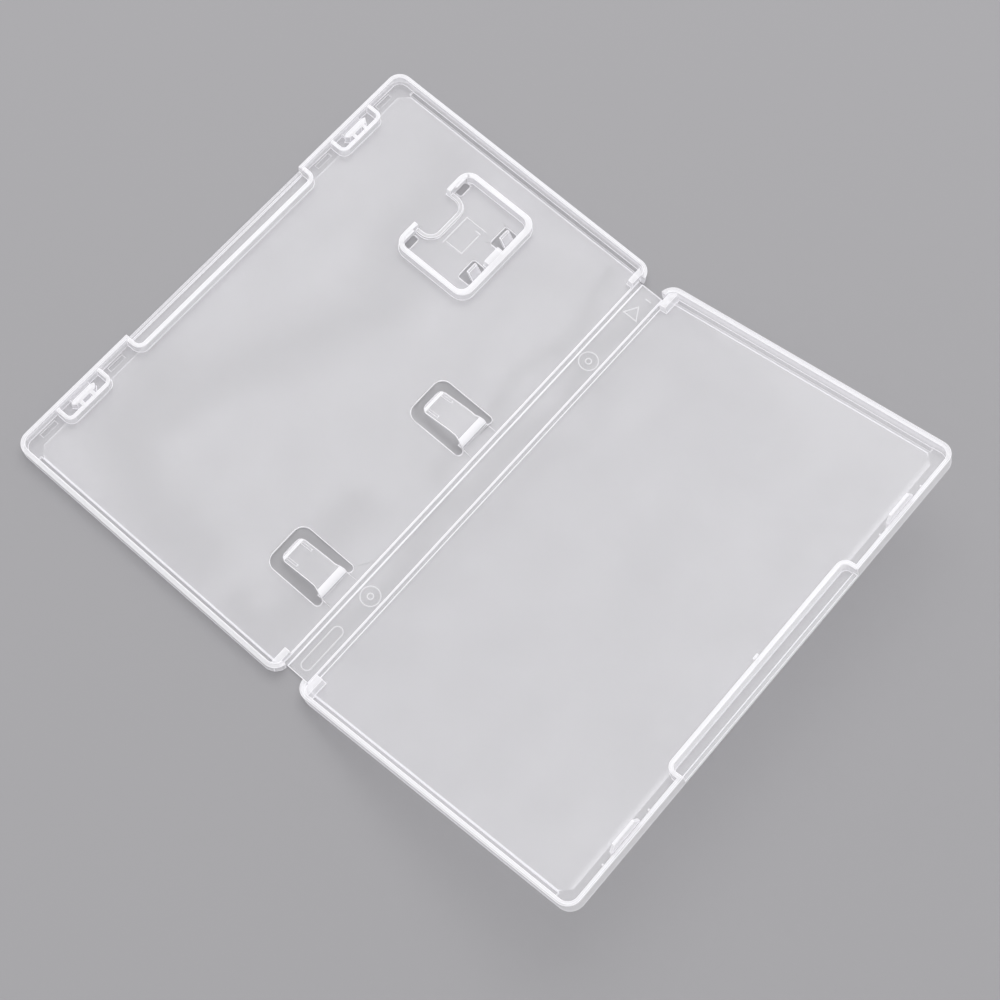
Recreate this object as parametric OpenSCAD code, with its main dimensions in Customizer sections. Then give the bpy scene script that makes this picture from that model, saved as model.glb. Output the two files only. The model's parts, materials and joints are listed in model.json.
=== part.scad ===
// Game card case, lying open.
// A shallow tray and a lid of natural polypropylene are moulded in one shot with
// a narrow spine between them. Two thin webs beside the spine are the hinges. A
// clear film sleeve is welded over the outside. The tray holds the card and two
// booklet clips; the free edges snap together by two tabs in two pockets.
// The origin is the middle of the open case, level with the side rails it rests on.
// X runs across the open case, with the tray at minus X. Y runs along the spine.

/* [Case] */
// Length along the spine
case_l = 170; // [165:1:190]
// Depth of each half, from its hinge line to its free edge
half_w = 104.4; // [102:0.1:120]
// Distance between the two hinge lines
spine_w = 9.6; // [9.4:0.1:14]
// Angle that the lid stands up at when the open case is put down
lid_angle = 18; // [0:1:60]

/* [Shell] */
// Height of the outer walls
wall_h = 5; // [4.6:0.1:5.1]
// Thickness of the outer walls
wall_t = 1.5; // [1.2:0.1:2]
// Thickness of the floors and the spine
floor_t = 0.8; // [0.7:0.05:1]
// Radius of the corners, seen from above
corner_r = 4.6; // [3.5:0.1:6]
// Height of the half lap in the meeting rims
lap_h = 0.3; // [0.2:0.05:0.4]
// Clearance between the two laps
lap_gap = 0.2; // [0.1:0.05:0.3]
// Height of the low kerb on the outer edge
kerb_h = 1.7; // [1.4:0.1:2.2]

/* [Hinges] */
// Thickness of the hinge webs
web_t = 0.3; // [0.2:0.05:0.4]
// Width of the hinge webs
web_w = 1.1; // [0.9:0.1:1.4]
// Length of the spine and the hinge webs
spine_l = 161; // [140:1:161]
// Gap between the ends of the spine and the corners
spine_gap = 0.4; // [0.2:0.1:0.8]
// How far the corners reach past the hinge line
corner_reach = 0.9; // [0.5:0.1:1.2]
// Length of the stop block behind each corner
stop_l = 7; // [5:0.5:9]
// Width of the tray's stop blocks
tray_stop_w = 2; // [1.2:0.1:2.4]
// Width of the lid's stop blocks
lid_stop_w = 2.6; // [1.2:0.1:3]
// Height of the stop blocks
stop_h = 4; // [3:0.1:4.5]
// Distance from the hinge line to the stop blocks
stop_set = 0.9; // [0.85:0.05:1.5]

/* [Side rails] */
// Depth of the recess for the film under the floor
recess = 0.3; // [0.2:0.05:0.4]
// Width of the rails along the short sides
rail_w = 3; // [2.6:0.1:4]
// Distance from the free edge to the end of a rail
rail_end = 7.4; // [6:0.1:10]

/* [Thumb notches] */
// Length of the notches
notch_l = 76; // [50:1:80]
// Depth of the notch in the tray
tray_notch = 5.5; // [4.5:0.1:6]
// Depth of the notch in the lid
lid_notch = 4.6; // [4:0.1:6]
// Radius of the notch corners
notch_r = 1.8; // [1:0.1:2.5]
// Thickness of the walls round the notches
notch_t = 1.4; // [1:0.1:1.6]

/* [Card holder] */
// Length of the card
card_l = 31; // [28:0.1:34]
// Width of the card
card_w = 21; // [18:0.1:24]
// Play round the card
card_play = 0.3; // [0.2:0.05:0.5]
// Room for the spring fingers beside the card
finger_room = 3.8; // [3.4:0.1:5]
// Distance from the hinge line to the outside of the holder
holder_x = 35.9; // [30:0.1:45]
// Place of the holder along the case, at its middle
holder_y = 55.7; // [50:0.1:60]
// Height of the holder's wall above the floor
holder_h = 3.5; // [3:0.1:3.6]
// Thickness of the holder's wall
holder_t = 1.5; // [1.2:0.1:2]
// Thickness of the holder's wall behind the spring fingers
back_t = 2.1; // [1.6:0.1:2.6]
// Radius of the holder's corners
holder_r = 4.4; // [3:0.1:6]
// Length of the finger bite in the holder
bite_l = 15; // [12:0.5:18]
// Depth of the finger bite
bite_d = 7; // [5:0.1:9]
// Height of the rib round the bite, which the card rests on
bite_h = 1.1; // [0.8:0.1:1.4]
// Width of the spring fingers
finger_w = 4; // [3:0.1:5]
// Thickness of the spring fingers
finger_t = 0.8; // [0.6:0.05:1]
// Length of the windows beside the spring fingers
window_l = 7.4; // [6.5:0.1:8]
// Width of the windows beside the spring fingers
window_w = 4.6; // [4:0.1:5]
// Distance from one spring finger to the other
finger_pitch = 15.2; // [14:0.1:17]
// Length of the windows at the arms
arm_window_l = 4.8; // [4:0.1:6]
// Width of the windows at the arms
arm_window_w = 2.3; // [1.6:0.1:2.6]
// Distance from the middle of the holder to the windows at the arms
arm_y = 12.3; // [11:0.1:13]
// How far the lips reach over the card
lip_reach = 0.6; // [0.4:0.05:0.8]

/* [Latches] */
// Distance from the middle of the case to each latch
latch_y = 60.2; // [56:0.1:64]
// Length of the latch pockets
pocket_l = 18.4; // [16:0.1:20]
// Depth of the latch pockets, from the free edge
pocket_d = 7.6; // [7:0.1:8.5]
// Height of the pocket walls and catch blocks
pocket_h = 4.5; // [4:0.1:4.7]
// Thickness of the pocket walls
pocket_t = 1.3; // [0.9:0.1:1.4]
// Length of the catch blocks
catch_l = 9.6; // [8:0.1:11]
// Width of the catch blocks
catch_w = 2; // [1.6:0.1:2.2]
// Width of the slot that a tab goes into
slot_w = 1.6; // [1.5:0.05:1.8]
// Height of the step in the slot, below the tab's tip
slot_step = 2.6; // [1.6:0.1:2.8]
// Length of the tabs at their root
tab_l = 11.6; // [10:0.1:13]
// Thickness of the tabs
tab_t = 0.9; // [0.7:0.05:1]
// Height of the tabs above the rim
tab_h = 2.5; // [2:0.1:3]

/* [Booklet clips] */
// Place of the first clip along the case
clip_1_y = 8; // [5:0.5:15]
// Place of the second clip along the case
clip_2_y = -54; // [-60:0.5:-45]
// Distance from the hinge line to the clips' openings
clip_x = 4.5; // [3.5:0.1:6]
// Depth of the clips' openings
clip_d = 20.8; // [18:0.1:24]
// Length of the clips' openings
clip_l = 16; // [14:0.1:18]
// Width of the tongues
tongue_w = 9; // [7:0.1:10]
// Thickness of the tongues
tongue_t = 0.9; // [0.7:0.05:1]
// Height of the tongues above the floor
tongue_h = 3.5; // [3:0.1:3.6]
// Gap between a tongue's tip and the end of its opening
tongue_gap = 2.7; // [2:0.1:3.5]
// Radius of the bend at a tongue's root, on the outside
bend_r = 3.3; // [2.5:0.1:3.4]
// Distance from the root to the crease where a tongue starts to slope down
crease_x = 7.1; // [6.5:0.1:9]
// Radius of the tongue's tip corners
tongue_r = 2.2; // [1:0.1:3]
// Radius of the opening's corners
clip_r = 3.4; // [2:0.1:4]
// Width of the opening's two feet
foot_w = 2.6; // [2:0.1:3]

/* [Film sleeve] */
// Thickness of the film
film_t = 0.15; // [0.1:0.01:0.18]
// Distance from the free edge to the film
film_edge = 5; // [4:0.1:8]

/* [Hidden] */
$fn = 64;
frost = "gainsboro";
clear = "aliceblue";
hair = 0.01;
floor_z = recess + floor_t;
hinge_z = recess + web_t / 2;
web_relief = 0.2;
hinge_bevel = 0.4;
rail_y = case_l / 2 - rail_w;
inner_y = case_l / 2 - wall_t;
rail_start = stop_set + 1.8;
rail_stop = half_w - rail_end;
film_gap = 0.2;
film_cut = 3;
mark_h = 0.15;
mark_w = 0.3;
dash_l = 2;
lap_w = (wall_t - lap_gap) / 2;
nub = 0.6;
notch_nub = 0.9;
notch_nub_l = 2;
sink_d = 0.25;
sink_w = 1.4;
sink_l = 6;
sink_set = 0.8;
sink_gap = 2;
lid_reach = half_w * cos(lid_angle) + (hinge_z - recess) * sin(lid_angle);
spine_x = (half_w - lid_reach) / 2;
holder_w = back_t + finger_room + card_w + 2 * card_play + holder_t;
holder_len = card_l + 4 * card_play + 2 * holder_t;
card_x1 = holder_w - holder_t;
card_x0 = card_x1 - card_w - 2 * card_play;
bite_r = holder_r - 1;
bite_rib = 1.3;
window_r = 0.7;
finger_set = 0.7;
finger_nose = 0.1;
finger_foot = 0.5;
lip_drop = 1.1;
insert_x = 19;
insert_w = 8;
insert_l = 11.6;
insert_step = 0.8;
pad_w = 2.1;
pad_l = 6.5;
pad_drop = 0.3;
pocket_r = 2.6;
catch_cut = 1.2;
catch_nose = 0.6;
strut_y = 2.2;
strut_w = 1.2;
step_l = 7.8;
tab_cut = 1.7;
hook_h = 0.45;
hook_w = 0.25;
root_x = 0.5;
root_back = 1;
bend_steps = 10;
opening_set = 0.7;
root_w = clip_l - 2 * foot_w;
tip_z = 2;
lip_h = 0.3;
lip_w = 0.9;
rib_l = 4.1;
rib_w = 0.6;
rib_h = 0.4;
rib_y = 3.1;
ring_y = 49.5;
ring_r = 3.2;
slot_mark_w = 3.6;
slot_mark_l = 16.6;
slot_mark_set = 2;
triangle_r = 3.1;
triangle_set = 9.7;
tip_x = clip_d - tongue_gap;

// A flat outline between x0 and x1 and between y0 and y1, with round corners
module rounded(x0, x1, y0, y1, r) {
  translate([x0 + r, y0]) square([x1 - x0 - 2 * r, y1 - y0]);
  translate([x0, y0 + r]) square([x1 - x0, y1 - y0 - 2 * r]);
  for (x = [x0 + r, x1 - r], y = [y0 + r, y1 - r]) translate([x, y]) circle(r);
}

// A profile drawn in X and Z, drawn out along Y about its middle
module along_y(l) rotate([90, 0, 0]) linear_extrude(l, center = true) children();

// The outline of one half, from past its hinge line to its free edge
module half_outline(inset = 0)
  rounded(inset - corner_reach, half_w - inset, inset - case_l / 2, case_l / 2 - inset, corner_r - inset);

// The side of a half beside the spine, which has no wall
module spine_side(depth) {
  l = spine_l + 2 * spine_gap;
  translate([-2 * corner_reach, -l / 2]) square([2 * corner_reach + depth, l]);
}

// The thumb notch, grown by the thickness of the wall round it
module notch(depth, grow = 0) {
  y = notch_l / 2 + grow;
  rounded(half_w - depth - grow, half_w + corner_r, -y, y, notch_r + grow);
}

// A wall on the outer edge that steps in round the notch
module edge_wall(depth, inset, t) {
  difference() {
    half_outline(inset);
    half_outline(inset + t);
    spine_side(corner_r);
    notch(depth);
  }
}

module notch_wall(depth) {
  intersection() {
    half_outline();
    difference() {
      notch(depth, notch_t);
      notch(depth);
    }
  }
}

// One half of the hinge web, with the bevelled edge of the floor it carries
module web_half() {
  land = web_w / 2 + hinge_bevel;
  along_y(spine_l) polygon([
    [0, recess], [land + hair, recess], [land + hair, floor_z], [land, floor_z],
    [web_w / 2, floor_z - hinge_bevel], [web_w / 2, recess + web_t],
    [web_relief, recess + web_t], [0, hinge_z]
  ]);
}

// The shallow trough that both halves are made of
module trough(depth, outer_lap, block_w) {
  difference() {
    union() {
      translate([0, 0, recess]) linear_extrude(floor_t) difference() {
        half_outline();
        spine_side(web_w / 2 + hinge_bevel);
      }
      translate([0, 0, recess]) linear_extrude(kerb_h - recess) difference() {
        half_outline();
        half_outline(wall_t);
        spine_side(corner_r);
      }
      translate([0, 0, recess]) linear_extrude(wall_h - lap_h - recess) edge_wall(depth, 0, wall_t);
      translate([0, 0, recess]) linear_extrude(wall_h - lap_h - recess) notch_wall(depth);
      translate([0, 0, recess]) linear_extrude(wall_h - recess)
        edge_wall(depth, outer_lap ? 0 : wall_t - lap_w, lap_w);
      for (s = [-1, 1]) rail(s);
    }
    for (s = [-1, 1]) rail_channel(s);
  }
  web_half();
  for (s = [-1, 1]) stop_block(s, block_w);
}

// A rail along a short side, which the case rests on and the film lies between
module rail(s) {
  linear_extrude(floor_t) intersection() {
    half_outline();
    translate([rail_start, s > 0 ? rail_y : -case_l / 2]) square([rail_stop - rail_start, rail_w]);
  }
}

module rail_channel(s) {
  translate([rail_start, s > 0 ? rail_y : -inner_y, floor_t])
    cube([rail_stop - rail_start, inner_y - rail_y, floor_t]);
}

// The block behind each corner that stops the spine when the case is shut
module stop_block(s, w) {
  top_y = inner_y + wall_t / 2;
  translate([stop_set, s > 0 ? top_y - stop_l : -top_y, recess]) cube([w, stop_l, stop_h - recess]);
}

module holder_place() translate([holder_x, holder_y, 0]) children();

// The finger bite, grown by the width of the rib round it
module bite(grow = 0) {
  y = bite_l / 2 + grow;
  rounded(holder_w - bite_d - grow, holder_w + 2 * holder_r, -y, y, bite_r + grow);
}

// The open C of wall round the card, with a low rib round the finger bite
module card_holder() {
  bottom = recess + floor_t / 2;
  top = floor_z + holder_h;
  holder_place() {
    translate([0, 0, bottom]) linear_extrude(top - bottom) difference() {
      rounded(0, holder_w, -holder_len / 2, holder_len / 2, holder_r);
      rounded(back_t, card_x1, -card_l / 2 - card_play, card_l / 2 + card_play, holder_r - holder_t);
      bite();
    }
    translate([0, 0, bottom]) linear_extrude(floor_z + bite_h - bottom) intersection() {
      rounded(0, holder_w, -holder_len / 2, holder_len / 2, holder_r);
      difference() {
        bite(bite_rib);
        bite();
      }
    }
    translate([hair, -pad_l / 2, bottom]) cube([back_t + pad_w, pad_l, top - pad_drop - bottom]);
    for (s = [-1, 1]) {
      translate([0, s * finger_pitch / 2, 0]) spring_finger();
      translate([card_x1, s * arm_y, top]) card_lip();
    }
    insert_lines();
  }
}

// A finger that leans over the opening beside it and presses on the card
module spring_finger() {
  root = back_t + finger_set;
  foot = recess + finger_nose;
  tip = card_x0 - card_play;
  top = floor_z + holder_h;
  along_y(finger_w) polygon([
    [root, foot], [root + finger_t + finger_foot, foot], [tip, top - finger_t],
    [tip + card_play, top - finger_t / 2], [tip, top], [tip - finger_t + finger_nose, top]
  ]);
}

// A small snap lip at the top of an arm
module card_lip() {
  along_y(arm_window_l) polygon([
    [finger_nose, -lip_drop], [-lip_reach, -lip_drop / 2], [-lip_reach, -lip_drop / 4], [finger_nose, 0]
  ]);
}

// The openings in the floor that free the fingers and lips, with round corners
module window_holes() {
  x = back_t + 1;
  for (s = [-1, 1]) translate([0, 0, -hair]) {
    linear_extrude(wall_h) translate([0, s * finger_pitch / 2])
      rounded(x, x + window_w, -window_l / 2, window_l / 2, window_r);
    linear_extrude(floor_z + 2 * hair) translate([0, s * arm_y])
      rounded(card_x1 - arm_window_w, card_x1, -arm_window_l / 2, arm_window_l / 2, window_r);
  }
}

// The openings stop at the fingers, which stand in them, and at the pad between them
module holder_windows() {
  holder_place() difference() {
    window_holes();
    for (s = [-1, 1]) translate([0, s * finger_pitch / 2, 0]) spring_finger();
    translate([0, -pad_l / 2, 0]) cube([back_t + pad_w, pad_l, 2 * wall_h]);
  }
}

// Two raised lines that meet in a corner
module corner_lines(x, y) {
  cube([x, mark_w, mark_h]);
  cube([mark_w, y, mark_h]);
}

// The faint outline of the mould insert in the middle of the holder, with a dash
module insert_lines() {
  translate([insert_x, 0, floor_z - hair]) {
    translate([0, insert_l / 2, 0]) rotate([0, 0, 180]) corner_lines(insert_w, insert_l);
    translate([insert_step - insert_w, insert_step - insert_l / 2, 0])
      corner_lines(insert_w - 2 * insert_step, insert_l - 4 * insert_step);
    translate([insert_step - insert_w, insert_l / 2 - dash_l, 0]) cube([dash_l, mark_w, mark_h]);
  }
}

// A pocket on the tray's free edge, with the catch block that a tab hooks behind
module latch_pocket(y) {
  bottom = recess + floor_t / 2;
  face = half_w - wall_t - slot_w;
  translate([0, y, bottom]) {
    linear_extrude(pocket_h - bottom) difference() {
      rounded(half_w - pocket_d, half_w - hair, -pocket_l / 2, pocket_l / 2, pocket_r);
      rounded(half_w - pocket_d + pocket_t, half_w + wall_h, pocket_t - pocket_l / 2,
        pocket_l / 2 - pocket_t, pocket_r - pocket_t);
    }
    linear_extrude(pocket_h - bottom) polygon([
      [face, catch_cut - catch_l / 2], [face, catch_l / 2 - catch_cut], [face - catch_nose, catch_l / 2],
      [face - catch_w, catch_l / 2 - catch_cut], [face - catch_w, catch_cut - catch_l / 2],
      [face - catch_nose, -catch_l / 2]
    ]);
    for (s = [-1, 1]) translate([half_w - pocket_d + pocket_t / 2, s * strut_y - strut_w / 2, 0])
      cube([face - catch_w - half_w + pocket_d, strut_w, pocket_h - bottom]);
    translate([face + slot_w / 3, -step_l / 2, 0]) cube([slot_w, step_l, slot_step - bottom]);
  }
}

// The shallow sinks in the floor on both sides of a latch pocket
module latch_sinks(y) {
  x = half_w - wall_t - sink_w - sink_set;
  for (s = [-1, 1])
    translate([x, y + s * (pocket_l + sink_l + 2 * sink_gap) / 2 - sink_l / 2, floor_z - sink_d])
      cube([sink_w, sink_l, sink_d + hair]);
}

// A tab on the lid's free edge that goes into a pocket, with its two nubs
module latch_tab(y) {
  outer = half_w - wall_t - lap_gap;
  top = wall_h + tab_h;
  inner_h = wall_h - lap_h - floor_z;
  translate([outer - tab_t, y, floor_z - hair]) rotate([90, 0, 90]) linear_extrude(tab_t) polygon([
    [-tab_l / 2, 0], [tab_l / 2, 0], [tab_l / 2, wall_h - floor_z], [tab_l / 2 - tab_cut, top - floor_z],
    [tab_cut - tab_l / 2, top - floor_z], [-tab_l / 2, wall_h - floor_z]
  ]);
  translate([outer - hair, y - tab_l / 2, floor_z - hair]) cube([2 * lap_gap, tab_l, inner_h]);
  translate([outer - tab_t + hair, y, top]) along_y(tab_l - 2 * tab_cut)
    polygon([[0, -2 * hook_h], [-hook_w, -hook_h], [0, -hook_w / 2]]);
  for (s = [-1, 1])
    translate([half_w - wall_t - nub, y + s * (pocket_l + nub) / 2 - nub / 2, floor_z - hair])
      cube([2 * nub, nub, inner_h]);
}

module clip_place(y) translate([clip_x, y, 0]) children();

// The opening round a tongue: a U whose two feet run on beside the root
module clip_opening(y) {
  clip_place(y) translate([0, 0, -hair]) linear_extrude(wall_h) difference() {
    union() {
      rounded(bend_r - opening_set, clip_d, -clip_l / 2, clip_l / 2, clip_r);
      for (s = [-1, 1]) translate([0, s * (clip_l - foot_w) / 2])
        rounded(0, bend_r + clip_r, -foot_w / 2, foot_w / 2, foot_w / 2 - hair);
    }
    translate([-root_back, -root_w / 2]) square([root_back + root_x + tongue_t, root_w]);
  }
}

// Points along an arc in X and Z
function arc(x, z, r, from, to, steps) =
  [for (i = [0:steps]) let (a = from + (to - from) * i / steps) [x + r * cos(a), z + r * sin(a)]];

// The side view of a tongue: a round bend, a level stretch and a slope down to a raised lip
module tongue_side() {
  top = floor_z + tongue_h;
  bend_x = root_x + bend_r;
  polygon(concat(
    [[-root_x, recess], [root_x + tongue_t, recess]],
    arc(bend_x, top - bend_r, bend_r - tongue_t, 180, 90, bend_steps),
    [[crease_x - tongue_t / 6, top - tongue_t], [tip_x, tip_z - tongue_t], [tip_x, tip_z + lip_h],
     [tip_x - lip_w, tip_z + 2 * lip_h], [tip_x - 1.5 * lip_w, tip_z + lip_h], [crease_x, top]],
    arc(bend_x, top - bend_r, bend_r, 90, 180, bend_steps),
    [[root_x, floor_z], [-root_x, floor_z]]
  ));
}

// The outline of a tongue from above, wider at its root
module tongue_plan() {
  rounded(bend_r, tip_x, -tongue_w / 2, tongue_w / 2, tongue_r);
  for (s = [0, 1]) mirror([0, s]) polygon([
    [-root_back, -hair], [tip_x / 2, -hair], [tip_x / 2, tongue_w / 2],
    [bend_r + root_back, tongue_w / 2], [root_x + tongue_t, root_w / 2], [-root_back, root_w / 2]
  ]);
}

// A tongue that holds a booklet against the floor, with two ribs near its tip
module clip_tongue(y) {
  slope = atan((floor_z + tongue_h - tip_z) / (tip_x - crease_x));
  clip_place(y) {
    intersection() {
      along_y(root_w) tongue_side();
      linear_extrude(2 * wall_h) tongue_plan();
    }
    for (s = [-1, 1])
      translate([tip_x - 3 * rib_w, s * rib_y - rib_w / 2, tip_z + lip_h])
        rotate([0, slope, 0])
          translate([-rib_l, 0, -lip_h]) cube([rib_l, rib_w, rib_h + lip_h]);
  }
}

// A ring mark on the face of the spine
module ring_mark(x, y, r) {
  translate([x, y, floor_z - hair]) linear_extrude(mark_h) difference() {
    circle(r);
    circle(r - mark_w);
  }
}

module tray_place() translate([spine_x - spine_w / 2, 0, 0]) mirror([1, 0, 0]) children();

module spine_place() translate([spine_x, 0, 0]) children();

// The lid turns about its hinge line, which lies in the middle of the web
module lid_place()
  translate([spine_x + spine_w / 2, 0, hinge_z])
    rotate([0, -lid_angle, 0])
      translate([0, 0, -hinge_z]) children();

module tray_shell() {
  color(frost) tray_place() {
    difference() {
      union() {
        trough(tray_notch, false, tray_stop_w);
        card_holder();
      }
      holder_windows();
      for (y = [clip_1_y, clip_2_y]) clip_opening(y);
      for (s = [-1, 1]) latch_sinks(s * latch_y);
    }
    for (y = [clip_1_y, clip_2_y]) clip_tongue(y);
    for (s = [-1, 1]) latch_pocket(s * latch_y);
  }
}

module spine_panel() {
  side = spine_w / 2 - web_w / 2 - hinge_bevel;
  color(frost) spine_place() {
    translate([-side, -spine_l / 2, recess]) cube([2 * side, spine_l, floor_t]);
    for (s = [0, 1]) mirror([s, 0, 0]) translate([-spine_w / 2, 0, 0]) web_half();
    for (y = [-ring_y, ring_y], r = [ring_r, ring_r / 3]) ring_mark(0, y, r);
    slot_mark();
    triangle_mark();
  }
}

// The outline of a long slot near one end of the spine
module slot_mark() {
  x = slot_mark_w / 2;
  y = slot_mark_l / 2;
  translate([0, y - spine_l / 2 + slot_mark_set, floor_z - hair]) linear_extrude(mark_h) difference() {
    rounded(-x, x, -y, y, x - hair);
    rounded(mark_w - x, x - mark_w, mark_w - y, y - mark_w, x - mark_w - hair);
  }
}

// The outline of a triangle and a dash near the other end of the spine
module triangle_mark() {
  translate([0, spine_l / 2 - triangle_set, floor_z - hair]) linear_extrude(mark_h) {
    rotate(90) difference() {
      circle(triangle_r, $fn = 3);
      circle(triangle_r - 2 * mark_w, $fn = 3);
    }
    translate([0, 2 * triangle_r]) square([dash_l, mark_w]);
  }
}

module lid_shell() {
  color(frost) lid_place() {
    trough(lid_notch, true, lid_stop_w);
    for (s = [-1, 1]) latch_tab(s * latch_y);
    translate([half_w - lid_notch - notch_t - notch_nub, 0, floor_z - hair])
      cube([2 * notch_nub, notch_nub_l, wall_h - lap_h - floor_z]);
  }
}

// One panel of the film, with its free corners cut off
module half_film() {
  y = rail_y - film_gap;
  x = half_w - film_edge;
  translate([0, 0, recess - film_t]) linear_extrude(film_t) polygon([
    [web_relief, -y], [x - film_cut, -y], [x, film_cut - y],
    [x, y - film_cut], [x - film_cut, y], [web_relief, y]
  ]);
}

module tray_film() color(clear, 0.4) tray_place() half_film();

module spine_film() {
  x = spine_w / 2 - web_relief;
  color(clear, 0.4) spine_place()
    translate([-x, -spine_l / 2, recess - film_t]) cube([2 * x, spine_l, film_t]);
}

module lid_film() color(clear, 0.4) lid_place() half_film();

tray_shell();
spine_panel();
lid_shell();
tray_film();
spine_film();
lid_film();
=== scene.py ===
# %% [markdown]
# # A game card case that lies open
#
# The case is one moulding of natural polypropylene: a shallow tray, a narrow spine and a lid, joined by two
# living hinges, which are webs so thin that they fold. A clear film sleeve is welded over the outside.
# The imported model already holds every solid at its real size, so this lesson adds what the eye needs:
# soft edges, hinges that bend, milky plastic, clear film, light and a camera.

# %% Load the frame
import json
import math

import bmesh
import bpy
from mathutils import Matrix, Vector, noise
from mathutils.bvhtree import BVHTree


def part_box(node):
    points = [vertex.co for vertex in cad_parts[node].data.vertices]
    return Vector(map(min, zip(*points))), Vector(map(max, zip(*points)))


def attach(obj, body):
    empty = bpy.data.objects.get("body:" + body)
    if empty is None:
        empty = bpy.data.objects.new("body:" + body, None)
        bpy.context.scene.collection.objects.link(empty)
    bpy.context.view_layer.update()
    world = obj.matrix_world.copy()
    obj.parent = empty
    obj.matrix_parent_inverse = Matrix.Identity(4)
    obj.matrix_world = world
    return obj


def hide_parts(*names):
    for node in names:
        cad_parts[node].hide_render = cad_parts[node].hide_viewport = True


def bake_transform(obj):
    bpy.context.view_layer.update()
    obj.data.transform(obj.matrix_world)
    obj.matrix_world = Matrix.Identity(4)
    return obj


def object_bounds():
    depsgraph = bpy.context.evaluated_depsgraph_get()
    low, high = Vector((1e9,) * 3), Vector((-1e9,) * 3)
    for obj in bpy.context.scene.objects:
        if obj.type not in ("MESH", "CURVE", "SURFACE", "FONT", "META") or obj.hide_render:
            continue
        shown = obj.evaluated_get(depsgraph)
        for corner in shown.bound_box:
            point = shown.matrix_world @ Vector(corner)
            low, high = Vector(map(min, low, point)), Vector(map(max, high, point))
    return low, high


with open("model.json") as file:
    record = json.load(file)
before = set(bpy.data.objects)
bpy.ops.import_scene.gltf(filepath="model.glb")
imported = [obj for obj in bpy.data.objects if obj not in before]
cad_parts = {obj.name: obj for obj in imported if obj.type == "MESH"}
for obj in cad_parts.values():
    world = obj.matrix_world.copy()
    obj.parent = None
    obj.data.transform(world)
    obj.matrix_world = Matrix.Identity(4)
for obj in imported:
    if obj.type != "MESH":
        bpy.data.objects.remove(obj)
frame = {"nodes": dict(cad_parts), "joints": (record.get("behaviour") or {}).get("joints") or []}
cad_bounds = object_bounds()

MM = 0.001
joints = {joint["name"]: joint for joint in frame["joints"]}
TRAY_AXIS = Vector(joints["spine_hinge"]["pos_m"])
LID_AXIS = Vector(joints["lid_hinge"]["pos_m"])
LID_ANGLE = -math.radians(joints["lid_hinge"]["range_deg"][0])
SPINE_WIDTH = LID_AXIS.x - TRAY_AXIS.x
print("The spine is", round(SPINE_WIDTH / MM, 2), "mm wide, and the lid stands up at",
      round(math.degrees(LID_ANGLE), 1), "degrees")

# %% [markdown]
# ## Where each half lies
#
# The tray lies flat and the lid stands up at a small angle. Each half has its own directions: outward from
# its hinge line, along the hinge, and up from its floor. A cut or a pattern that is written in them fits
# both halves. The spine is measured from the tray's hinge line. The lid's angle isn't typed in: it is the
# travel that is left until the lid lies flat.

# %% Directions of each half
ALONG = Vector((0, 1, 0))
HALVES = {
    "tray": {"axis": TRAY_AXIS, "outward": Vector((-1, 0, 0)), "upward": Vector((0, 0, 1))},
    "spine": {"axis": TRAY_AXIS, "outward": Vector((1, 0, 0)), "upward": Vector((0, 0, 1))},
    "lid": {
        "axis": LID_AXIS,
        "outward": Vector((math.cos(LID_ANGLE), 0, math.sin(LID_ANGLE))),
        "upward": Vector((-math.sin(LID_ANGLE), 0, math.cos(LID_ANGLE))),
    },
}


def half_point(half, out, along, height):
    """The point of the scene at a place that is measured on one half."""
    place = HALVES[half]
    return place["axis"] + place["outward"] * out + ALONG * along + place["upward"] * height


def from_hinge(half, point):
    """How far a point lies outward from the hinge line of a half."""
    place = HALVES[half]
    return (point - place["axis"]).dot(place["outward"])


# %% [markdown]
# ## Colours and nodes
#
# Colours are written as sRGB hex values, as a colour picker shows them, and one function turns them linear.
# One more small function adds a node, sets its values and joins its links.

# %% Colour and node helpers
WHITE = "#FFFFFF"


def linear(hex_colour):
    """An sRGB hex colour as the linear RGBA that Blender's sockets hold."""
    values = [int(hex_colour[place : place + 2], 16) / 255 for place in (1, 3, 5)]
    return [v / 12.92 if v <= 0.04045 else ((v + 0.055) / 1.055) ** 2.4 for v in values] + [1.0]


def add(tree, kind, inputs=None, **settings):
    """Adds a node. An input is a value, or the output socket that feeds it."""
    made = tree.nodes.new(kind)
    for name, value in settings.items():
        setattr(made, name, value)
    for socket, value in (inputs or {}).items():
        if isinstance(value, bpy.types.NodeSocket):
            tree.links.new(value, made.inputs[socket])
        else:
            made.inputs[socket].default_value = value
    return made


def new_material(name):
    """An empty node material, and its output node. A painted glow, where it has one, is faint, so it isn't
    sampled as a lamp.
    """
    material = bpy.data.materials.new(name)
    material.use_nodes = True
    material.node_tree.nodes.clear()
    output = add(material.node_tree, "ShaderNodeOutputMaterial")
    material.cycles.emission_sampling = "NONE"
    return material, output
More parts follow.
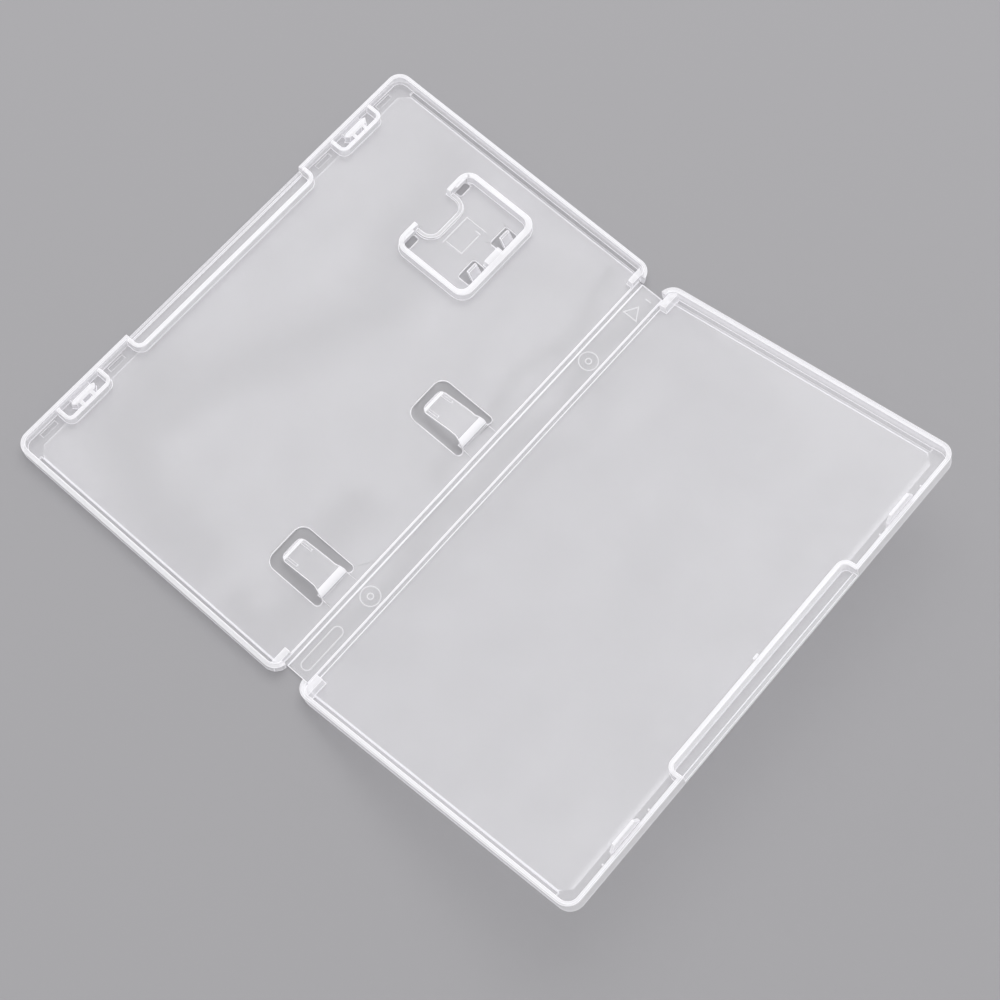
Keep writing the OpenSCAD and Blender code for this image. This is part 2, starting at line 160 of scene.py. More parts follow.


# %% [markdown]
# ## Frosted polypropylene
#
# Natural polypropylene has no pigment. It is half crystalline, so it scatters light like thin milk: a floor
# of 0.8 mm lets about two thirds of the light through, and a wall that is seen end on looks almost white.
# It could be a true volume, but that needs many samples. So each face carries the depth of plastic that
# lies behind it, and the surface turns that depth into opacity by the law of absorption. On rounded edges
# that value is deeper than the plastic, and is partly a painted highlight. A little over a third of the
# light gets through a milky depth, which is in millimetres. Light passes two faces on its way, so each face
# takes half. Light that scatters inside also comes out on the sides that face away from the lamp, and a
# faint painted glow, an emission on all of the plastic, stands for it. The moulded skin is satin, with a
# grain that is drawn coarser than the real one, or it wouldn't show.

# %% Frosted polypropylene
POLYPROPYLENE_IOR = 1.49
POLYPROPYLENE_COLOUR = "#FAF9FD"
SATIN_ROUGHNESS = 0.3
MILKY_DEPTH = 1.9
FACES_PASSED = 2
# Painted glow: an emission on all of the plastic that stands in for light scattered inside it.
PAINTED_INNER_GLOW = 0.12
GRAIN_SIZE = 0.5 * MM
GRAIN_HEIGHT = 0.05 * MM
GRAIN_STRENGTH = 0.06
# Each face's depth of plastic, and on rounded edges partly a painted highlight.
DEPTH_AND_HIGHLIGHT_NAME = "plastic_depth_and_highlight"


def frosted_polypropylene():
    """Milky moulded plastic that is whiter where it is thicker, with a faint painted glow."""
    material, output = new_material("frosted_polypropylene")
    tree = material.node_tree
    depth = add(tree, "ShaderNodeAttribute", attribute_name=DEPTH_AND_HIGHLIGHT_NAME)
    coordinates = add(tree, "ShaderNodeTexCoord")
    thickness = add(
        tree,
        "ShaderNodeMath",
        {0: depth.outputs["Fac"], 1: -1 / (FACES_PASSED * MILKY_DEPTH)},
        operation="MULTIPLY",
    )
    clearness = add(tree, "ShaderNodeMath", {0: thickness.outputs["Value"]}, operation="EXPONENT")
    opacity = add(tree, "ShaderNodeMath", {0: 1.0, 1: clearness.outputs["Value"]}, operation="SUBTRACT")
    grain = add(
        tree,
        "ShaderNodeTexNoise",
        {"Vector": coordinates.outputs["Object"], "Scale": 1 / GRAIN_SIZE, "Detail": 0.0},
    )
    skin = add(
        tree,
        "ShaderNodeBump",
        {"Height": grain.outputs["Fac"], "Strength": GRAIN_STRENGTH, "Distance": GRAIN_HEIGHT},
    )
    surface = add(
        tree,
        "ShaderNodeBsdfPrincipled",
        {
            "Base Color": linear(POLYPROPYLENE_COLOUR),
            "Roughness": SATIN_ROUGHNESS,
            "IOR": POLYPROPYLENE_IOR,
            "Alpha": opacity.outputs["Value"],
            "Normal": skin.outputs["Normal"],
            # The painted glow of the plastic.
            "Emission Color": linear(WHITE),
            "Emission Strength": PAINTED_INNER_GLOW,
        },
    )
    tree.links.new(surface.outputs["BSDF"], output.inputs["Surface"])
    return material


plastic = frosted_polypropylene()
print(plastic.name, "has", len(plastic.node_tree.nodes), "nodes")

# %% [markdown]
# ## Clear film
#
# The sleeve is clear film, cast on polished rolls, which makes it glossy, and welded at its edges. Where it
# clings to the plastic it nearly vanishes, and where air lies behind it, it adds a faint haze. A glass
# shader would need many samples for a sheet that hardly bends light, so the film is nearly transparent and
# its mesh carries the haze. Haze sends most of its light straight on, which a surface can't do, so a painted
# glow, an emission that shows where the film is hazy, makes up for it. The mesh is a grid of small cells, so
# the pattern follows the sheet and is there from both sides.

# %% Clear film
FILM_IOR = 1.5
FILM_COLOUR = "#EFEEF3"
FILM_ROUGHNESS = 0.12
# Painted glow: an emission that shows where the film is hazy, for light that its haze sends on.
PAINTED_FORWARD_GLOW = 0.36
HAZE_NAME = "film_haze"


def clear_film():
    """Glossy film whose haze is stored on its mesh, with a painted glow where it is hazy."""
    material, output = new_material("clear_film")
    tree = material.node_tree
    haze = add(tree, "ShaderNodeAttribute", attribute_name=HAZE_NAME)
    surface = add(
        tree,
        "ShaderNodeBsdfPrincipled",
        {
            "Base Color": linear(FILM_COLOUR),
            "Roughness": FILM_ROUGHNESS,
            "IOR": FILM_IOR,
            "Alpha": haze.outputs["Fac"],
            # The painted glow of the film.
            "Emission Color": linear(WHITE),
            "Emission Strength": PAINTED_FORWARD_GLOW,
        },
    )
    tree.links.new(surface.outputs["BSDF"], output.inputs["Surface"])
    return material


film = clear_film()
print(film.name, "has", len(film.node_tree.nodes), "nodes")

# %% [markdown]
# ## Soft edges
#
# A CAD mesh is loose triangles with knife edges, and no moulded edge is that sharp. A shader could fake the
# light on it, but a rounded mesh looks right everywhere. A copy of the mesh is merged and its flat triangles
# are joined again, which shows how wide each face is. A mould's radius is as large as the metal allows, so
# wide faces meet in a round of about 0.2 mm and narrow steps in a smaller one. The bevel weight of an edge
# holds that share. A narrow slope catches light as a round does, so it is marked as one, in a material slot
# that is only used until the rounding is done.

# %% Widths and weights
EDGE_RADIUS = 0.22 * MM
ROOM_SHARE = 0.42
NARROW = 0.6 * MM
MERGE = 0.002 * MM
SIMPLE_CORNERS = 4
FLAT_ANGLE = math.radians(1.0)
SHARP_ANGLE = math.radians(32.0)
WEIGHT_NAME = "bevel_weight_edge"
ROUND_SLOT = 1

# The upward share of a slope's normal lies between that of an upright wall, 0, and a level floor, 1.
STEEP_SLOPE = 0.3
GENTLE_SLOPE = 0.95


def merged_copy(node_name):
    """A bmesh of a CAD node with its triangles joined into whole faces."""
    work = bmesh.new()
    work.from_mesh(frame["nodes"][node_name].data)
    bmesh.ops.remove_doubles(work, verts=work.verts, dist=MERGE)
    bmesh.ops.dissolve_limit(work, angle_limit=FLAT_ANGLE, verts=work.verts, edges=work.edges)
    return work


def mean_width(face):
    """The mean width of a long face."""
    return 2 * face.calc_area() / face.calc_perimeter()


def face_width(face, edge):
    """How far a face reaches from one of its edges. A long winding face has its mean width."""
    if len(face.verts) > SIMPLE_CORNERS:
        return mean_width(face)
    start, end = (vert.co for vert in edge.verts)
    along = (end - start).normalized()
    return max((vert.co - start).cross(along).length for vert in face.verts)


def weigh_edges(work, upward):
    """Stores how round each sharp edge may be, and marks the narrow slopes as rounds."""
    weights = work.edges.layers.float.new(WEIGHT_NAME)
    for edge in work.edges:
        if len(edge.link_faces) == 2 and edge.calc_face_angle() > SHARP_ANGLE:
            room = min(face_width(face, edge) for face in edge.link_faces)
            edge[weights] = min(1.0, ROOM_SHARE * room / EDGE_RADIUS)
    for face in work.faces:
        slope = abs(face.normal.dot(upward))
        if STEEP_SLOPE < slope < GENTLE_SLOPE and mean_width(face) < NARROW:
            face.material_index = ROUND_SLOT


# %% [markdown]
# ## Triangles before the rounding
#
# A round that runs through a large face with many corners can fold over, so all faces are cut into triangles
# first. Long thin triangles shade unevenly on a wide floor, so a grid of planes cuts it into cells before.

# %% Cells and triangles
WIDE_AREA = 400 * MM * MM
LEVEL = 0.99
CELL = 9.7 * MM
SAME_PLACE = 1e-7


def cut_into_cells(work, upward):
    """Cuts the wide flat faces by a grid of planes, so that none is left with long thin triangles."""
    wide = [
        face for face in work.faces
        if face.calc_area() > WIDE_AREA and abs(face.normal.dot(upward)) > LEVEL
    ]
    for direction in (upward.cross(ALONG), ALONG):
        places = [vert.co.dot(direction) for face in wide for vert in face.verts]
        for step in range(math.ceil(min(places) / CELL), math.ceil(max(places) / CELL)):
            near = {part for face in wide if face.is_valid for part in (face, *face.edges, *face.verts)}
            cut = bmesh.ops.bisect_plane(
                work,
                geom=list(near),
                dist=SAME_PLACE,
                plane_co=direction * step * CELL,
                plane_no=direction,
            )
            wide = list({*wide, *(part for part in cut["geom"] if isinstance(part, bmesh.types.BMFace))})


def into_triangles(work, upward):
    """Cuts all faces into triangles, the wide ones by way of cells."""
    cut_into_cells(work, upward)
    bmesh.ops.triangulate(work, faces=work.faces)


# %% [markdown]
# ## The rounding
#
# The Bevel modifier reads the weights. It is applied at once, because the depth of the plastic is measured
# on its result. Where small edges crowd, a round can throw a corner out. A vertex that strays from the
# knife-edged surface is put back on it, and none leaves the box of the solids. A weighted normal then keeps
# the flat faces flat to the eye.

# %% Round the edges
EDGE_SEGMENTS = 2
STRAY = 0.12 * MM


def as_piece(work, name, material):
    """Turns a bmesh into an object of the scene."""
    mesh = bpy.data.meshes.new(name)
    for face in work.faces:
        face.smooth = True
    work.to_mesh(mesh)
    work.free()
    mesh.materials.append(material)
    piece = bpy.data.objects.new(name, mesh)
    bpy.context.scene.collection.objects.link(piece)
    return piece


def surface_of(mesh):
    """A mesh as a tree that rays and nearest points can be asked of."""
    return BVHTree.FromPolygons(
        [vertex.co for vertex in mesh.vertices], [list(face.vertices) for face in mesh.polygons]
    )


def clamp(value, low=0.0, high=1.0):
    """A value, kept between two limits."""
    return min(max(value, low), high)


def put_back_strays(mesh, knife_edged):
    """Puts back the vertices that the rounding threw off the surface or out of the box."""
    for vertex in mesh.vertices:
        nearest, _, _, distance = knife_edged.find_nearest(vertex.co)
        if distance > STRAY:
            vertex.co = nearest
        vertex.co = [clamp(*place) for place in zip(vertex.co, *cad_bounds)]


def round_edges(piece):
    """Rounds the weighted edges, and returns the numbers of the new narrow faces."""
    knife_edged = surface_of(piece.data)
    piece.data.materials.append(None)
    bevel = piece.modifiers.new("mould_radius", "BEVEL")
    bevel.width = EDGE_RADIUS
    bevel.segments = EDGE_SEGMENTS
    bevel.limit_method = "WEIGHT"
    bevel.use_clamp_overlap = False
    bevel.material = ROUND_SLOT
    rounded = piece.evaluated_get(bpy.context.evaluated_depsgraph_get())
    piece.data = bpy.data.meshes.new_from_object(rounded)
    piece.modifiers.clear()
    put_back_strays(piece.data, knife_edged)
    edge_faces = {face.index for face in piece.data.polygons if face.material_index == ROUND_SLOT}
    for face in piece.data.polygons:
        face.material_index = 0
    piece.data.materials.pop(index=ROUND_SLOT)
    piece.data.set_sharp_from_angle(angle=SHARP_ANGLE)
    even = piece.modifiers.new("flat_faces_stay_flat", "WEIGHTED_NORMAL")
    even.keep_sharp = True
    return edge_faces


# %% [markdown]
# ## The depth of plastic behind each face
#
# Rays go from each face into the plastic until they leave on the far side: one square to the face, and one
# up and down the wall, the way that most light takes. The depth is the geometric mean of both, so floors are
# thin, walls and steep bends are milky, and rims are nearly white. It is held between a thinnest and a
# deepest value. Depths are in plain millimetres, as the material reads them.

# %% Depth of one face
DEEPEST = 4.2
THINNEST = 0.1
SKIN = 0.003 * MM
CORNER_SHARE = 0.6


def corner_points(mesh, face):
    """Points of a face near its corners, and its middle."""
    corners = [mesh.vertices[number].co for number in face.vertices]
    return [face.center] + [face.center.lerp(corner, CORNER_SHARE) for corner in corners]


def path_through(solid, point, *directions):
    """The length of the way out of the plastic, summed over some directions, in millimetres."""
    ways = [solid.ray_cast(point, direction)[3] or 0.0 for direction in directions]
    return sum(ways) / MM


def depth_behind(solid, mesh, face, upward):
    """The depth of plastic behind a face."""
    found = []
    for point in corner_points(mesh, face):
        inside = point - face.normal * SKIN
        straight = path_through(solid, inside, -face.normal)
        upright = path_through(solid, inside, upward, -upward)
        if straight > THINNEST and upright > THINNEST:
            found.append(math.sqrt(straight * upright))
    return min(min(found, default=THINNEST), DEEPEST)


# %% [markdown]
# ## One depth for each flat region
#
# Triangles that lie flat beside each other share one depth, the middle one by area, or their borders would
# show. A rounded edge shows the eye the plastic along its whole wall, so it gets a deep value of its own,
# partly that plastic and partly a painted highlight, which draws the bright outlines. A fine raised line
# gets a fainter painted highlight, and a hair-thin triangle must not show at all.

# %% Depth of a moulding
# Rounded edges and fine lines get values that are partly a painted highlight.
EDGE_DEPTH_AND_HIGHLIGHT = 8.0
FULL_EDGE = 0.13 * MM
FINE_LINE = 0.34 * MM
FINE_DEPTH_AND_HIGHLIGHT = 3.0
SLIVER = 0.05 * MM


def flat_regions(mesh):
    """Yields lists of faces that lie flat beside each other, each with the width of the list."""
    work = bmesh.new()
    work.from_mesh(mesh)
    seen = set()
    for seed in work.faces:
        if seed in seen:
            continue
        seen.add(seed)
        region = [seed]
        outline = 0.0
        for face in region:
            for edge in face.edges:
                flat = len(edge.link_faces) == 2 and edge.calc_face_angle() < FLAT_ANGLE
                beside = [other for other in edge.link_faces if other not in seen] if flat else []
                outline += 0.0 if flat else edge.calc_length()
                seen.update(beside)
                region.extend(beside)
        width = 2 * sum(face.calc_area() for face in region) / max(outline, SKIN)
        yield [face.index for face in region], width
    work.free()


def middle_depth(solid, mesh, region, upward):
    """The middle one of the depths behind the faces of a region, by area."""
    found = sorted((depth_behind(solid, mesh, mesh.polygons[number], upward), number) for number in region)
    half_area = sum(mesh.polygons[number].area for number in region) / 2
    for depth, number in found:
        half_area -= mesh.polygons[number].area
        if half_area <= 0:
            break
    return depth


def calm_slivers(mesh, depths):
    """Gives each hair-thin triangle the least depth beside it, so that it doesn't draw a bright line."""
    work = bmesh.new()
    work.from_mesh(mesh)
    thin = {
        face.index for face in work.faces
        if 2 * face.calc_area() / max(edge.calc_length() for edge in face.edges) < SLIVER
    }
    work.faces.ensure_lookup_table()
    for number in thin:
        beside = {other.index for edge in work.faces[number].edges for other in edge.link_faces} - thin
        depths[number] = min((depths[other] for other in beside), default=depths[number])
    work.free()


def store_depth(piece, edge_faces, upward):
    """Stores the depth of plastic behind each face, in millimetres; on rounded edges and fine lines it is
    partly a painted highlight.
    """
    mesh = piece.data
    solid = surface_of(mesh)
    depths = [0.0] * len(mesh.polygons)
    for region, width in flat_regions(mesh):
        # Rounded edges: the plastic along the wall, and a painted highlight.
        if edge_faces.issuperset(region):
            depth = max(FINE_DEPTH_AND_HIGHLIGHT, EDGE_DEPTH_AND_HIGHLIGHT * min(1.0, width / FULL_EDGE))
        elif SLIVER < width < FINE_LINE:
            depth = FINE_DEPTH_AND_HIGHLIGHT
        else:
            depth = middle_depth(solid, mesh, region, upward)
        for number in region:
            depths[number] = depth
    calm_slivers(mesh, depths)
    stored = mesh.attributes.new(DEPTH_AND_HIGHLIGHT_NAME, "FLOAT", "FACE")
    stored.data.foreach_set("value", depths)
    return depths


# %% [markdown]
# ## The three mouldings
#
# On the real case the tray, the spine and the lid are one moulding, and here they are three that turn. The
# CAD halves and the spine meet at the middle of each hinge web, edge to edge. When the case shuts, such
# edges part. They could overlap instead, but milky plastic shows an overlap as a bright line. So the inner
# half of each web is cut away here, and a strip that bends takes its place.

# %% Cut the webs off
SPINE_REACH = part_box("spine_panel")[1][1]
WEB_CUT = 0.5 * MM
WEB_HALF_LENGTH = SPINE_REACH + 0.1 * MM
LEEWAY = 0.001 * MM


def everything(work):
    """All vertices, edges and faces of a bmesh, as the operator that cuts wants them."""
    return work.verts[:] + work.edges[:] + work.faces[:]


def cut_web(work, half, side):
    """Takes the web away up to a short way past the hinge line, on one side of it."""
    axis = HALVES[half]["axis"]
    other_axis = LID_AXIS if half == "tray" else TRAY_AXIS
    away = HALVES[half]["outward"] if side == half else (other_axis - axis).normalized()
    plane = axis + away * WEB_CUT
    bmesh.ops.bisect_plane(work, geom=everything(work), dist=SAME_PLACE, plane_co=plane, plane_no=away)
    doomed = [
        face for face in work.faces
        if all(
            (vert.co - plane).dot(away) < LEEWAY and abs(vert.co.y) < WEB_HALF_LENGTH
            for vert in face.verts
        )
    ]
    bmesh.ops.delete(work, geom=doomed, context="FACES")
    rim = [edge for edge in work.edges if edge.is_boundary]
    bmesh.ops.holes_fill(work, edges=rim, sides=0)
    print("The web of", side, "at the", half, "hinge: cut", len(doomed), "faces,", len(rim), "rim edges")


# %% Tray, spine and lid
for node_name, body, hinges in (
    ("tray_shell", "tray", ["tray"]),
    ("spine_panel", "spine", ["tray", "lid"]),
    ("lid_shell", "lid", ["lid"]),
):
    work = merged_copy(node_name)
    for hinge in hinges:
        cut_web(work, hinge, body)
    upward = HALVES[body]["upward"]
    weigh_edges(work, upward)
    into_triangles(work, upward)
    moulding = as_piece(work, body + "_moulding", plastic)
    depths = store_depth(moulding, round_edges(moulding), upward)
    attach(moulding, body)
    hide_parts(node_name)
    mean_depth = round(sum(depths) / len(depths), 2)
    print(moulding.name, "has", len(depths), "faces, and", mean_depth, "mm mean depth")

# %% [markdown]
# ## Hinge webs
#
# A living hinge bends where it is thinnest. The stretch that bends ends just inside the strip, so that both
# sides meet the mouldings squarely. At rest the lid's strip is already bent by the angle that the lid
# stands up at.

# %% Strips that bend
STRIP_COLUMNS = 8
BENDS = 0.46 * MM
WEB_THICKNESS = 0.3 * MM
WEB_DEPTH = 0.6
SPINE_LENGTH = 2 * SPINE_REACH

# A grid reaches its size to each side, so this one is a metre wide, ready to be scaled.
UNIT_GRID = 0.5


def solid_sheet(work, thickness):
    """Gives a flat sheet its thickness, upward."""
    made = bmesh.ops.extrude_face_region(work, geom=work.faces[:])
    raised = [part for part in made["geom"] if isinstance(part, bmesh.types.BMVert)]
    bmesh.ops.translate(work, vec=(0, 0, thickness), verts=raised)


def bending_strip(name, half, bottom, thickness, material):
    """A strip across a hinge line that turns from the spine to a half."""
    work = bmesh.new()
    bmesh.ops.create_grid(work, x_segments=STRIP_COLUMNS, y_segments=1, size=UNIT_GRID)
    bmesh.ops.scale(work, vec=(2 * WEB_CUT, SPINE_LENGTH, 1), verts=work.verts)
    bmesh.ops.translate(work, vec=(0, 0, bottom), verts=work.verts)
    solid_sheet(work, thickness)
    bmesh.ops.recalc_face_normals(work, faces=work.faces)
    axis = HALVES[half]["axis"]
    for vert in work.verts:
        share = clamp((vert.co.x + BENDS) / (2 * BENDS))
        lift = LID_ANGLE * share if half == "lid" else 0.0
        vert.co = axis + Matrix.Rotation(-lift, 3, "Y") @ vert.co
    piece = as_piece(work, name, material)
    piece.data.set_sharp_from_angle(angle=SHARP_ANGLE)
    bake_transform(piece)
    return piece


def store_value(piece, name, value):
    """Stores the same number on every face of a piece."""
    stored = piece.data.attributes.new(name, "FLOAT", "FACE")
    stored.data.foreach_set("value", [value] * len(piece.data.polygons))


for half in ("tray", "lid"):
    web = bending_strip(half + "_hinge_web", half, -WEB_THICKNESS / 2, WEB_THICKNESS, plastic)
    store_value(web, DEPTH_AND_HIGHLIGHT_NAME, WEB_DEPTH)
    print(web.name, "is", round(SPINE_LENGTH / MM, 1), "mm long")

# %% [markdown]
# ## Where the film clings
#
# Film that lies loose on plastic touches it in patches with soft edges, as a phone's screen film does. A
# noise alone would scatter them evenly, but the real ones follow the way the sheet is pulled. So each patch
# is a short route along the sheet, with a reach and a strength, and the haze fades towards it. The routes
# are places on each half, outward from the hinge line and along it. They are in plain millimetres, as are
# the reach and how far the patches wander. The third number of a noise's place picks a slice of it. The
# vector noise that makes them wander is seeded by the clock, unless it gets a seed, so it gets one here and
# every run is the same.

# %% Haze of the film
HAZE_LOOSE = 0.062
HAZE_CLOUDS = 0.02
HAZE_LEAST = 0.004
CLOUDS = 26 * MM
CLOUD_FINENESS = 1.7
CLOUD_FALLOFF = 1.0
CLOUD_STEP = 2.0
CLOUD_OCTAVES = 3
WANDER = 7
WANDER_SEED = 15
WANDER_SLICE, CLOUD_SLICE, RIPPLE_SLICE = 0, 1, 2
CLINGS = {
    "tray": (
        (((70, 68), (65, 44), (54, 19), (66, -9), (76, -31), (84, -56)), 16, 0.75),
        (((88, -40), (86, -62), (68, -71), (44, -72)), 17, 0.8),
        (((17, -34), (15, -50), (10, -66), (10, -78)), 13, 0.8),
        (((5, -10), (5, 74)), 5, 0.6),
        (((24, -72), (14, -76)), 9, 0.8),
    ),
    "lid": (
        (((2, 62), (8, 30), (2, -40)), 9, 0.3),
        (((45, 40), (60, -20), (88, -50)), 18, 0.15),
    ),
    "spine": ((((4.8, -80), (4.8, 80)), 6, 0.8),),
}
noise.seed_set(WANDER_SEED)
print("The film clings along", sum(len(routes) for routes in CLINGS.values()), "routes")


def distance_to_route(point, route):
    """The distance from a flat point to the nearest stretch of a route."""
    nearest = math.inf
    for first, second in zip(route, route[1:]):
        start, end = Vector(first), Vector(second)
        share = (point - start).dot(end - start) / (end - start).length_squared
        nearest = min(nearest, (start.lerp(end, clamp(share)) - point).length)
    return nearest


def film_haze(half, out, along):
    """The haze at a place of the film: clouds, less what clings."""
    wander = noise.noise_vector(Vector((out, along, WANDER_SLICE)) / CLOUDS)
    finer = Vector((out, along, CLOUD_SLICE)) / CLOUDS * CLOUD_FINENESS
    cloud = noise.fractal(finer, CLOUD_FALLOFF, CLOUD_STEP, CLOUD_OCTAVES)
    point = Vector((out, along)) / MM + WANDER * wander.xy
    cling = 0.0
    for route, reach, strength in CLINGS[half]:
        near = max(0.0, 1 - distance_to_route(point, route) / reach)
        cling = max(cling, strength * near * near * (3 - 2 * near))
    return max(HAZE_LEAST, (HAZE_LOOSE + HAZE_CLOUDS * cloud) * (1 - cling))


# %% [markdown]
# ## Film panels
#
# Each panel is a grid of small cells, cut to the outline of its CAD solid. It could be simulated as cloth,
# but a welded sleeve is held flat. Two insets round the tray's and the lid's panel make the weld, which is
# whiter: a narrow band, and a hair's width in which its white ends. Over an opening of the moulding the film
# is clearest. The sheet ripples by a hair, so that its gloss isn't dead flat.

# %% Sheet and weld
FILM_LIFT = 0.17 * MM
FILM_BOTTOM = FILM_LIFT - TRAY_AXIS.z
FILM_THICKNESS = 0.1 * MM
FILM_CELL = 1.9 * MM
FILM_CORNER = 3 * MM
LEAST_COLUMNS = 3
WELD_WIDTH = 0.3 * MM
WELD_STEP = 0.03 * MM


def film_outline(node_name, half):
    """How far a film solid reaches outward and along its half."""
    points = [vertex.co for vertex in frame["nodes"][node_name].data.vertices]
    return max(from_hinge(half, point) for point in points), max(point.y for point in points)


def film_sheet(end, reach):
    """A flat sheet of small cells, from just past the hinge line to the end of a panel."""
    work = bmesh.new()
    width = end - WEB_CUT
    columns = max(LEAST_COLUMNS, round(width / FILM_CELL))
    rows = round(2 * reach / FILM_CELL)
    bmesh.ops.create_grid(work, x_segments=columns, y_segments=rows, size=UNIT_GRID)
    bmesh.ops.scale(work, vec=(width, 2 * reach, 1), verts=work.verts)
    bmesh.ops.translate(work, vec=(WEB_CUT + width / 2, 0, 0), verts=work.verts)
    return work


def trim_and_weld(work, end, reach):
    """Cuts the outer corners off a sheet, and lays the band of its weld round it."""
    for side in (-1, 1):
        bmesh.ops.bisect_plane(
            work,
            geom=everything(work),
            plane_co=(end - FILM_CORNER, side * reach, 0),
            plane_no=(1, side, 0),
            clear_outer=True,
        )
    whole = work.faces[:]
    bmesh.ops.inset_region(
        work, faces=whole, thickness=WELD_WIDTH, use_boundary=True, use_even_offset=True
    )
    inner = [face for face in work.faces if not any(edge.is_boundary for edge in face.edges)]
    bmesh.ops.inset_region(
        work, faces=inner, thickness=WELD_STEP, use_boundary=True, use_even_offset=True
    )


# %% Haze and ripple
HAZE_OPEN = 0.006
WELD_HAZE = 0.5
EDGE_HAZE = 0.2
WELD_BAND = 1.1 * WELD_WIDTH
RIPPLE = 0.006 * MM
RIPPLE_SIZE = 9 * MM


def over_film(half):
    """A test that says whether plastic lies over a place of the film, or an opening."""
    solid = surface_of(bpy.data.objects[half + "_moulding"].data)
    upward = HALVES[half]["upward"]

    def plastic_above(out, along):
        return solid.ray_cast(half_point(half, out, along, FILM_BOTTOM), upward)[3] is not None

    return plastic_above


def store_haze(work, half, end, reach):
    """Stores the haze of a sheet on its vertices, and lets the sheet ripple."""
    haze = work.verts.layers.float.new(HAZE_NAME)
    plastic_above = over_film(half)
    for vert in work.verts:
        out, along = vert.co.x, vert.co.y
        vert[haze] = film_haze(half, out, along) if plastic_above(out, along) else HAZE_OPEN
        if half != "spine" and end - out < WELD_BAND:
            vert[haze] = EDGE_HAZE
        if half != "spine" and reach - abs(along) < WELD_BAND:
            vert[haze] = WELD_HAZE
        vert.co.z = FILM_BOTTOM + RIPPLE * noise.noise(Vector((out, along, RIPPLE_SLICE)) / RIPPLE_SIZE)


def film_panel(half, end, reach):
    """One flat panel of the film, at its place."""
    work = film_sheet(end, reach)
    if half != "spine":
        trim_and_weld(work, end, reach)
    store_haze(work, half, end, reach)
    solid_sheet(work, FILM_THICKNESS)
    for vert in work.verts:
        vert.co = half_point(half, *vert.co)
    bmesh.ops.recalc_face_normals(work, faces=work.faces)
    panel = as_piece(work, half + "_film_panel", film)
    panel.data.set_sharp_from_angle(angle=SHARP_ANGLE)
    return panel


# %% Film panels and folds
for half in ("tray", "spine", "lid"):
    end, reach = film_outline(half + "_film", half)
    if half == "spine":
        end = SPINE_WIDTH - WEB_CUT
    panel = film_panel(half, end, reach)
    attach(panel, half)
    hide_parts(half + "_film")
    print(panel.name, "has", len(panel.data.polygons), "faces")

for half in ("tray", "lid"):
    fold = bending_strip(half + "_film_fold", half, FILM_BOTTOM, FILM_THICKNESS, film)
    store_value(fold, HAZE_NAME, HAZE_LOOSE)
    print(fold.name, "is", round(2 * WEB_CUT / MM, 2), "mm wide")

# %% [markdown]
# ## Floor and light
#
# A plain pale grey floor stays darker than the milky plastic. One broad soft lamp hangs overhead and an
# even white sky fills the shadows. A second lamp would double the shadows, and a bright floor would hide
# the rims. Where the camera looks past the floor it sees the grey of the floor, as if the paper went on,
# while everything else still gets the white light.

# %% Floor
FLOOR_SIZE = 6.0
PAPER = "#AAA9AC"
PAPER_ROUGHNESS = 0.9


def matt_floor():
    """Plain matt backdrop paper."""
    material, output = new_material("matt_floor")
    tree = material.node_tree
    surface = add(
        tree,
        "ShaderNodeBsdfPrincipled",
        {"Base Color": linear(PAPER), "Roughness": PAPER_ROUGHNESS},
    )
    tree.links.new(surface.outputs["BSDF"], output.inputs["Surface"])
    return material


floor_work = bmesh.new()
bmesh.ops.create_grid(floor_work, x_segments=1, y_segments=1, size=FLOOR_SIZE / 2)
floor = as_piece(floor_work, "studio_floor", matt_floor())
print(floor.name, "is", FLOOR_SIZE, "m wide")

# %% Sky
SKY_STRENGTH = 0.76

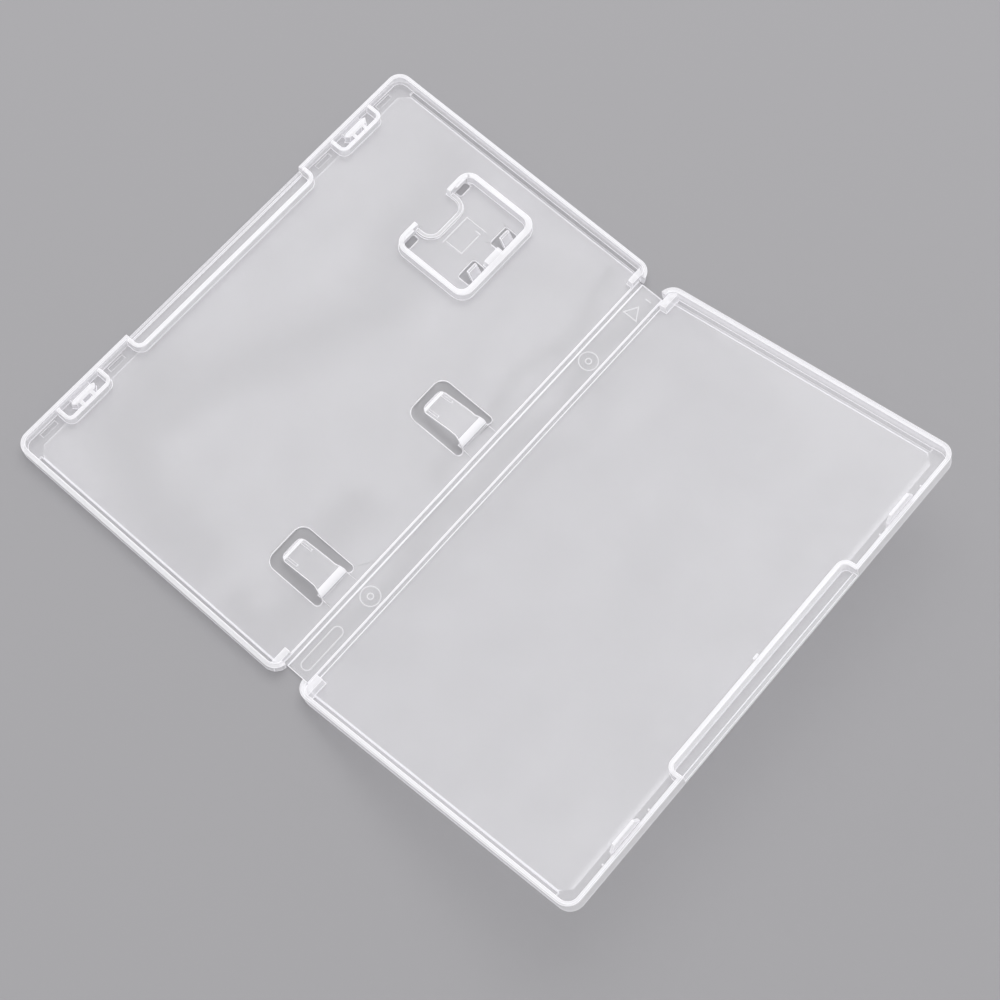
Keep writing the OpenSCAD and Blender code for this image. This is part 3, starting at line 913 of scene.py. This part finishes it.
world = bpy.data.worlds.new("soft_sky")
bpy.context.scene.world = world
world.use_nodes = True
world.node_tree.nodes.clear()
sky = add(world.node_tree, "ShaderNodeBackground", {"Color": linear(WHITE), "Strength": SKY_STRENGTH})
paper = add(world.node_tree, "ShaderNodeBackground", {"Color": linear(PAPER), "Strength": 1.0})
path = add(world.node_tree, "ShaderNodeLightPath")
seen = add(
    world.node_tree,
    "ShaderNodeMixShader",
    {0: path.outputs["Is Camera Ray"], 1: sky.outputs["Background"], 2: paper.outputs["Background"]},
)
add(world.node_tree, "ShaderNodeOutputWorld", {"Surface": seen.outputs["Shader"]})
print(world.name, "has", len(world.node_tree.nodes), "nodes")

# %% Softbox
LAMP_PLACE = Vector((-0.35, 0.45, 1.1))
LAMP_WIDTH = 1.0
LAMP_LENGTH = 0.8
LAMP_POWER = 4.5

lamp_data = bpy.data.lights.new("overhead_softbox", "AREA")
lamp_data.shape = "RECTANGLE"
lamp_data.size = LAMP_WIDTH
lamp_data.size_y = LAMP_LENGTH
lamp_data.energy = LAMP_POWER
lamp = bpy.data.objects.new("overhead_softbox", lamp_data)
bpy.context.scene.collection.objects.link(lamp)
lamp.location = LAMP_PLACE
lamp.rotation_euler = LAMP_PLACE.to_track_quat("Z", "Y").to_euler()
print(lamp.name, "is", LAMP_WIDTH, "by", LAMP_LENGTH, "m, and gives", LAMP_POWER, "W")

# %% [markdown]
# ## Camera
#
# A camera that is aimed by eye would draw the thin lines of the case a little off. This one's place, lens
# and directions were solved from the corners of the case in the photo and its real length. A ray passes
# many clear faces here, so it is allowed more of them than usual.

# %% Camera
CAMERA_PLACE = Vector((0.11066, -0.14617, 0.52684))
CAMERA_RIGHT = Vector((0.75596, 0.65360, 0.03648))
CAMERA_UP = Vector((-0.62966, 0.71077, 0.31357))
LENS = 67.19
SENSOR_WIDTH = 36.0
NEAREST_SEEN = 0.01
CLEAR_FACES = 16

camera_data = bpy.data.cameras.new("camera")
camera_data.lens = LENS
camera_data.sensor_width = SENSOR_WIDTH
camera_data.clip_start = NEAREST_SEEN
camera = bpy.data.objects.new("camera", camera_data)
bpy.context.scene.collection.objects.link(camera)
right = CAMERA_RIGHT.normalized()
back = right.cross(CAMERA_UP).normalized()
up = back.cross(right)
camera.matrix_world = Matrix.Translation(CAMERA_PLACE) @ Matrix((right, up, back)).transposed().to_4x4()
bpy.context.scene.camera = camera
bpy.context.scene.view_settings.view_transform = "Standard"
bpy.context.scene.cycles.transparent_max_bounces = CLEAR_FACES
print("The camera stands", round(CAMERA_PLACE.length, 2), "m from the case")
